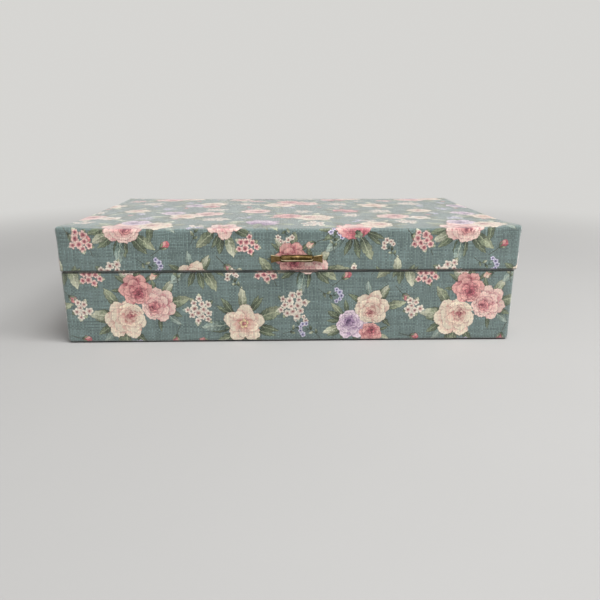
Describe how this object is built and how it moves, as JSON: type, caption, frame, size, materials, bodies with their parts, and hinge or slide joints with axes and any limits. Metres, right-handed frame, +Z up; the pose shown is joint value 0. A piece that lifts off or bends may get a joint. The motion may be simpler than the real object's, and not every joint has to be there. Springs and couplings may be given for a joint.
{
  "type": "fabric jewellery box",
  "caption": "Shallow cloth covered jewellery box: hinged lid with a mirror and a brass pull, lined compartments and a bed of ring rolls inside.",
  "frame": {"origin": "middle of the underside of the base, on the surface that the box stands on", "axes": "+Z up, -Y towards the front with the pull, +X to the right seen from the front"},
  "size_m": [0.2814, 0.1856, 0.072],
  "materials": {
    "printed_cloth": "grey-teal linen weave with a printed pattern of roses, glued down flat",
    "fibreboard": "raw wood fibre board, hidden under the cloth",
    "black_paper": "matt black paper",
    "velvet": "dusty rose velvet",
    "lid_satin": "pale rose satin",
    "mirror_glass": "silvered glass",
    "aged_brass": "darkened brass",
    "hinge_brass": "plain brass",
    "washer_steel": "bright spring steel"
  },
  "bodies": {
    "base": {"base_front_board": "fibreboard", "base_back_board": "fibreboard", "base_left_board": "fibreboard", "base_right_board": "fibreboard", "base_floor_board": "fibreboard", "base_cover": "printed_cloth", "underside_sheet": "black_paper", "front_liner": "velvet", "back_liner": "velvet", "left_liner": "velvet", "right_liner": "velvet", "floor_liner": "velvet", "long_divider": "velvet", "left_cross_divider": "velvet", "right_cross_divider": "velvet", "short_divider": "velvet", "ring_bed": "velvet", "ring_roll_1": "velvet", "ring_roll_2": "velvet", "ring_roll_3": "velvet", "ring_roll_4": "velvet", "ring_roll_5": "velvet", "left_base_leaf": "hinge_brass", "right_base_leaf": "hinge_brass", "left_hinge_pin": "hinge_brass", "right_hinge_pin": "hinge_brass", "base_leaf_screws": "hinge_brass"},
    "lid": {"lid_top_board": "fibreboard", "lid_front_board": "fibreboard", "lid_back_board": "fibreboard", "lid_left_board": "fibreboard", "lid_right_board": "fibreboard", "lid_cover": "printed_cloth", "lid_front_liner": "lid_satin", "lid_back_liner": "lid_satin", "lid_left_liner": "lid_satin", "lid_right_liner": "lid_satin", "mirror_frame": "lid_satin", "mirror": "mirror_glass", "pull": "aged_brass", "pull_washers": "washer_steel", "left_lid_leaf": "hinge_brass", "right_lid_leaf": "hinge_brass", "lid_leaf_screws": "hinge_brass"}
  },
  "joints": [
    {"name": "lid_hinge", "type": "hinge", "parent": "base", "child": "lid", "pos_m": [0, 0.09, 0.0458], "axis": [-1, 0, 0], "range_deg": [0, 100]}
  ]
}
